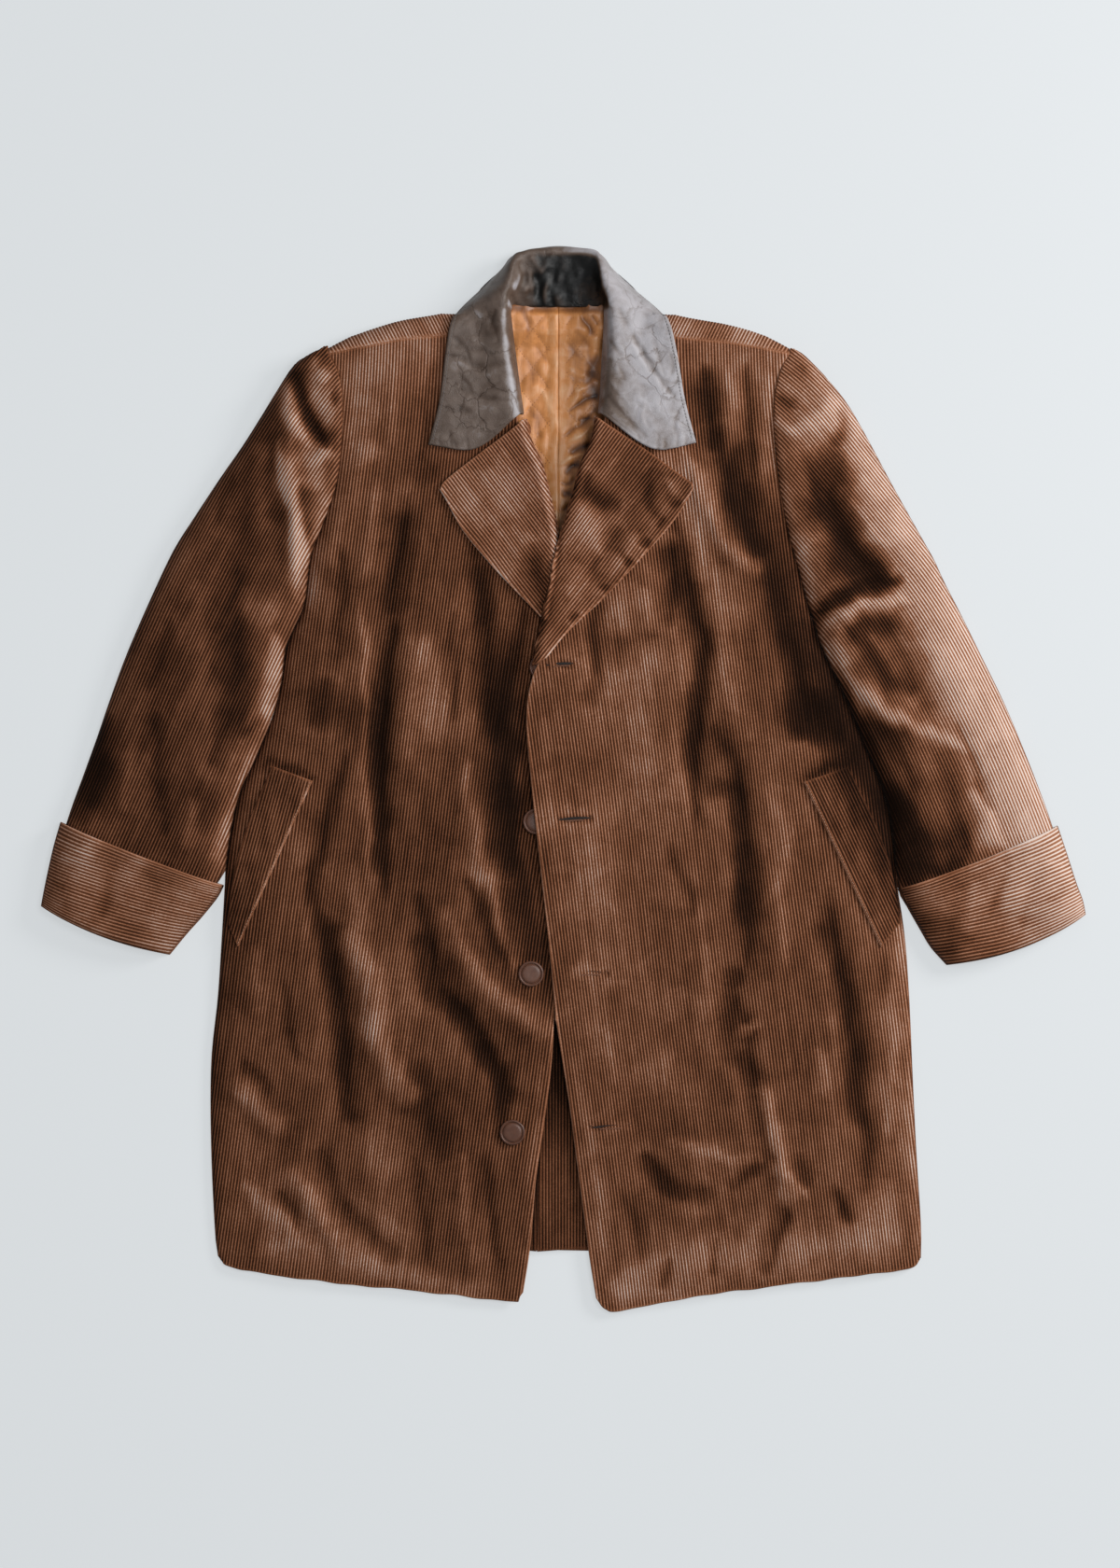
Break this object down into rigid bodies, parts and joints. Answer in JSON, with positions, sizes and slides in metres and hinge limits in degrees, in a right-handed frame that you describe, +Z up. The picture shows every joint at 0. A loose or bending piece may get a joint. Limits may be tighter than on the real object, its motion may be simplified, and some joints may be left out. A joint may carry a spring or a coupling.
{
  "type": "corduroy jacket",
  "caption": "Three-quarter length corduroy coat laid flat and unfastened, with a leather collar, wide lapels, slanted welt pockets, turned-up cuffs and quilted lining in the neck.",
  "frame": {"origin": "on the surface that the coat lies on, under the centre of its box", "axes": "+Z up from the surface, +Y from the hem to the collar, +X to the wearer's left"},
  "size_m": [1.121, 1.1421, 0.0458],
  "materials": {
    "corduroy": "wide-wale brown corduroy with a soft nap",
    "leather": "soft wrinkled leather with a low sheen",
    "lining": "copper satin, diamond quilted",
    "button": "turned brown button with a soft shine"
  },
  "bodies": {
    "root": {"back_left": "corduroy", "back_right": "corduroy", "vent_facing_left": "corduroy", "vent_facing_right": "corduroy", "lining_left": "lining", "lining_right": "lining", "front_left": "corduroy", "front_right": "corduroy", "lapel_left": "corduroy", "lapel_right": "corduroy", "collar": "leather", "sleeve_left_top": "corduroy", "sleeve_left_under": "corduroy", "sleeve_right_top": "corduroy", "sleeve_right_under": "corduroy", "cuff_left_top": "corduroy", "cuff_left_under": "corduroy", "cuff_right_top": "corduroy", "cuff_right_under": "corduroy", "welt_left": "corduroy", "welt_right": "corduroy", "button_1": "button", "button_2": "button", "button_3": "button", "button_4": "button"}
  },
  "joints": []
}
